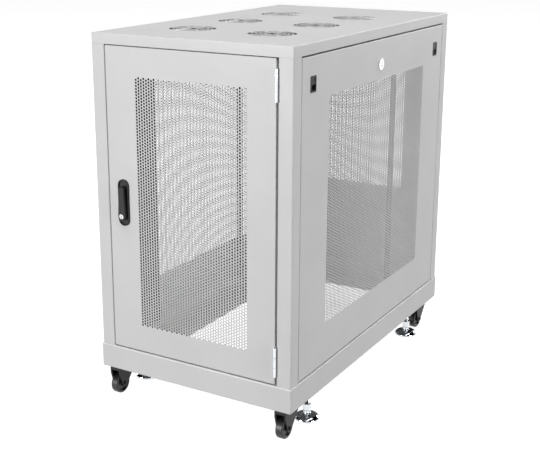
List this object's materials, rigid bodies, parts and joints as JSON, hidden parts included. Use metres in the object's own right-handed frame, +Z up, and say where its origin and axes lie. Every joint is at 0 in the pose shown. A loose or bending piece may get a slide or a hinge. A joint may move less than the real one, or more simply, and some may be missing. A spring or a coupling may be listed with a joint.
{
  "type": "network server rack cabinet",
  "caption": "Free-standing 19-inch server cabinet with perforated front door and side panels, vented top, swing handle, casters and levelling feet.",
  "frame": {"origin": "on the floor under the middle of the cabinet", "axes": "+Z up, -Y towards the front door, +X to the right as seen from the front"},
  "size_m": [0.605, 1.0245, 1.022],
  "materials": {
    "grey_paint": "fine-textured light grey powder coat",
    "black_paint": "satin black powder coat",
    "black_plastic": "moulded black plastic",
    "chrome": "bright chrome plate",
    "zinc_plate": "zinc plated steel",
    "wheel_nylon": "black moulded wheel"
  },
  "bodies": {
    "cabinet": {"base_frame": "grey_paint", "post_front_left": "grey_paint", "post_front_right": "grey_paint", "post_rear_left": "grey_paint", "post_rear_right": "grey_paint", "top_frame": "grey_paint", "top_cover": "grey_paint", "cable_entry_cover": "grey_paint", "mounting_rail_front_left": "black_paint", "mounting_rail_front_right": "black_paint", "mounting_rail_rear_left": "black_paint", "mounting_rail_rear_right": "black_paint", "front_hinge_lower_frame_leaf": "chrome", "front_hinge_lower_pin": "chrome", "front_hinge_upper_frame_leaf": "chrome", "front_hinge_upper_pin": "chrome", "rear_hinge_lower_frame_leaf": "chrome", "rear_hinge_upper_frame_leaf": "chrome", "caster_front_left_plate": "zinc_plate", "caster_front_right_plate": "zinc_plate", "caster_rear_left_plate": "zinc_plate", "caster_rear_right_plate": "zinc_plate"},
    "front_door": {"front_door": "grey_paint", "front_hinge_lower_door_leaf": "chrome", "front_hinge_upper_door_leaf": "chrome", "handle_dish": "black_plastic"},
    "handle_spindle": {"handle_spindle": "zinc_plate"},
    "handle_lever": {"handle_lever": "black_plastic"},
    "handle_lock_plug": {"handle_lock_plug": "chrome"},
    "rear_door": {"rear_door": "grey_paint", "rear_hinge_lower_door_leaf": "chrome", "rear_hinge_upper_door_leaf": "chrome", "rear_lock_barrel": "chrome"},
    "rear_lock_plug": {"rear_lock_plug": "chrome"},
    "side_panel_left": {"side_panel_left": "grey_paint", "side_lock_left_barrel": "chrome", "side_latch_left_front_bezel": "black_plastic", "side_latch_left_rear_bezel": "black_plastic"},
    "side_lock_left_plug": {"side_lock_left_plug": "chrome"},
    "side_latch_left_front_slider": {"side_latch_left_front_slider": "black_plastic"},
    "side_latch_left_rear_slider": {"side_latch_left_rear_slider": "black_plastic"},
    "side_panel_right": {"side_panel_right": "grey_paint", "side_lock_right_barrel": "chrome", "side_latch_right_front_bezel": "black_plastic", "side_latch_right_rear_bezel": "black_plastic"},
    "side_lock_right_plug": {"side_lock_right_plug": "chrome"},
    "side_latch_right_front_slider": {"side_latch_right_front_slider": "black_plastic"},
    "side_latch_right_rear_slider": {"side_latch_right_rear_slider": "black_plastic"},
    "caster_front_left_swivel": {"caster_front_left_fork": "black_plastic"},
    "caster_front_left_wheel": {"caster_front_left_wheel": "wheel_nylon"},
    "caster_front_right_swivel": {"caster_front_right_fork": "black_plastic"},
    "caster_front_right_wheel": {"caster_front_right_wheel": "wheel_nylon"},
    "caster_rear_left_swivel": {"caster_rear_left_fork": "black_plastic"},
    "caster_rear_left_wheel": {"caster_rear_left_wheel": "wheel_nylon"},
    "caster_rear_right_swivel": {"caster_rear_right_fork": "black_plastic"},
    "caster_rear_right_wheel": {"caster_rear_right_wheel": "wheel_nylon"},
    "levelling_foot_front_left": {"levelling_foot_front_left": "chrome"},
    "levelling_foot_front_right": {"levelling_foot_front_right": "chrome"},
    "levelling_foot_rear_left": {"levelling_foot_rear_left": "chrome"},
    "levelling_foot_rear_right": {"levelling_foot_rear_right": "chrome"}
  },
  "joints": [
    {"name": "front_door_swing", "type": "hinge", "parent": "cabinet", "child": "front_door", "pos_m": [0.2565, -0.50475, 0.575], "axis": [0, 0, 1], "range_deg": [0, 165]},
    {"name": "handle_turn", "type": "hinge", "parent": "front_door", "child": "handle_spindle", "pos_m": [-0.209, -0.5, 0.615], "axis": [0, -1, 0], "range_deg": [0, 90]},
    {"name": "handle_pull", "type": "hinge", "parent": "handle_spindle", "child": "handle_lever", "pos_m": [-0.209, -0.51, 0.615], "axis": [-1, 0, 0], "range_deg": [0, 30]},
    {"name": "handle_key", "type": "hinge", "parent": "handle_lever", "child": "handle_lock_plug", "pos_m": [-0.209, -0.5055, 0.54], "axis": [0, -1, 0], "range_deg": [0, 90]},
    {"name": "rear_door_swing", "type": "hinge", "parent": "cabinet", "child": "rear_door", "pos_m": [-0.2565, 0.50475, 0.575], "axis": [0, 0, 1], "range_deg": [0, 165]},
    {"name": "rear_lock_key", "type": "hinge", "parent": "rear_door", "child": "rear_lock_plug", "pos_m": [0.2095, 0.5, 0.576], "axis": [0, -1, 0], "range_deg": [0, 90]},
    {"name": "side_panel_left_pull", "type": "slide", "parent": "cabinet", "child": "side_panel_left", "axis": [-1, 0, 0], "range_m": [0, 0.25]},
    {"name": "side_lock_left_key", "type": "hinge", "parent": "side_panel_left", "child": "side_lock_left_plug", "pos_m": [-0.3, 0, 0.921], "axis": [-1, 0, 0], "range_deg": [0, 90]},
    {"name": "side_latch_left_front_slide", "type": "slide", "parent": "side_panel_left", "child": "side_latch_left_front_slider", "axis": [0, 0, -1], "range_m": [0, 0.01], "stiffness_N_per_m": 300, "springref_m": -0.004},
    {"name": "side_latch_left_rear_slide", "type": "slide", "parent": "side_panel_left", "child": "side_latch_left_rear_slider", "axis": [0, 0, -1], "range_m": [0, 0.01], "stiffness_N_per_m": 300, "springref_m": -0.004},
    {"name": "side_panel_right_pull", "type": "slide", "parent": "cabinet", "child": "side_panel_right", "axis": [1, 0, 0], "range_m": [0, 0.25]},
    {"name": "side_lock_right_key", "type": "hinge", "parent": "side_panel_right", "child": "side_lock_right_plug", "pos_m": [0.3, 0, 0.921], "axis": [1, 0, 0], "range_deg": [0, 90]},
    {"name": "side_latch_right_front_slide", "type": "slide", "parent": "side_panel_right", "child": "side_latch_right_front_slider", "axis": [0, 0, -1], "range_m": [0, 0.01], "stiffness_N_per_m": 300, "springref_m": -0.004},
    {"name": "side_latch_right_rear_slide", "type": "slide", "parent": "side_panel_right", "child": "side_latch_right_rear_slider", "axis": [0, 0, -1], "range_m": [0, 0.01], "stiffness_N_per_m": 300, "springref_m": -0.004},
    {"name": "caster_front_left_swivel", "type": "hinge", "parent": "cabinet", "child": "caster_front_left_swivel", "pos_m": [-0.267, -0.444, 0.08], "axis": [0, 0, 1], "continuous": true},
    {"name": "caster_front_left_roll", "type": "hinge", "parent": "caster_front_left_swivel", "child": "caster_front_left_wheel", "pos_m": [-0.267, -0.471, 0.03], "axis": [1, 0, 0], "continuous": true},
    {"name": "caster_front_right_swivel", "type": "hinge", "parent": "cabinet", "child": "caster_front_right_swivel", "pos_m": [0.267, -0.444, 0.08], "axis": [0, 0, 1], "continuous": true},
    {"name": "caster_front_right_roll", "type": "hinge", "parent": "caster_front_right_swivel", "child": "caster_front_right_wheel", "pos_m": [0.267, -0.471, 0.03], "axis": [1, 0, 0], "continuous": true},
    {"name": "caster_rear_left_swivel", "type": "hinge", "parent": "cabinet", "child": "caster_rear_left_swivel", "pos_m": [-0.267, 0.444, 0.08], "axis": [0, 0, 1], "continuous": true},
    {"name": "caster_rear_left_roll", "type": "hinge", "parent": "caster_rear_left_swivel", "child": "caster_rear_left_wheel", "pos_m": [-0.267, 0.417, 0.03], "axis": [1, 0, 0], "continuous": true},
    {"name": "caster_rear_right_swivel", "type": "hinge", "parent": "cabinet", "child": "caster_rear_right_swivel", "pos_m": [0.267, 0.444, 0.08], "axis": [0, 0, 1], "continuous": true},
    {"name": "caster_rear_right_roll", "type": "hinge", "parent": "caster_rear_right_swivel", "child": "caster_rear_right_wheel", "pos_m": [0.267, 0.417, 0.03], "axis": [1, 0, 0], "continuous": true},
    {"name": "levelling_foot_front_left_screw", "type": "slide", "parent": "cabinet", "child": "levelling_foot_front_left", "axis": [0, 0, 1], "range_m": [0, 0.02]},
    {"name": "levelling_foot_front_right_screw", "type": "slide", "parent": "cabinet", "child": "levelling_foot_front_right", "axis": [0, 0, 1], "range_m": [0, 0.02]},
    {"name": "levelling_foot_rear_left_screw", "type": "slide", "parent": "cabinet", "child": "levelling_foot_rear_left", "axis": [0, 0, 1], "range_m": [0, 0.02]},
    {"name": "levelling_foot_rear_right_screw", "type": "slide", "parent": "cabinet", "child": "levelling_foot_rear_right", "axis": [0, 0, 1], "range_m": [0, 0.02]}
  ]
}
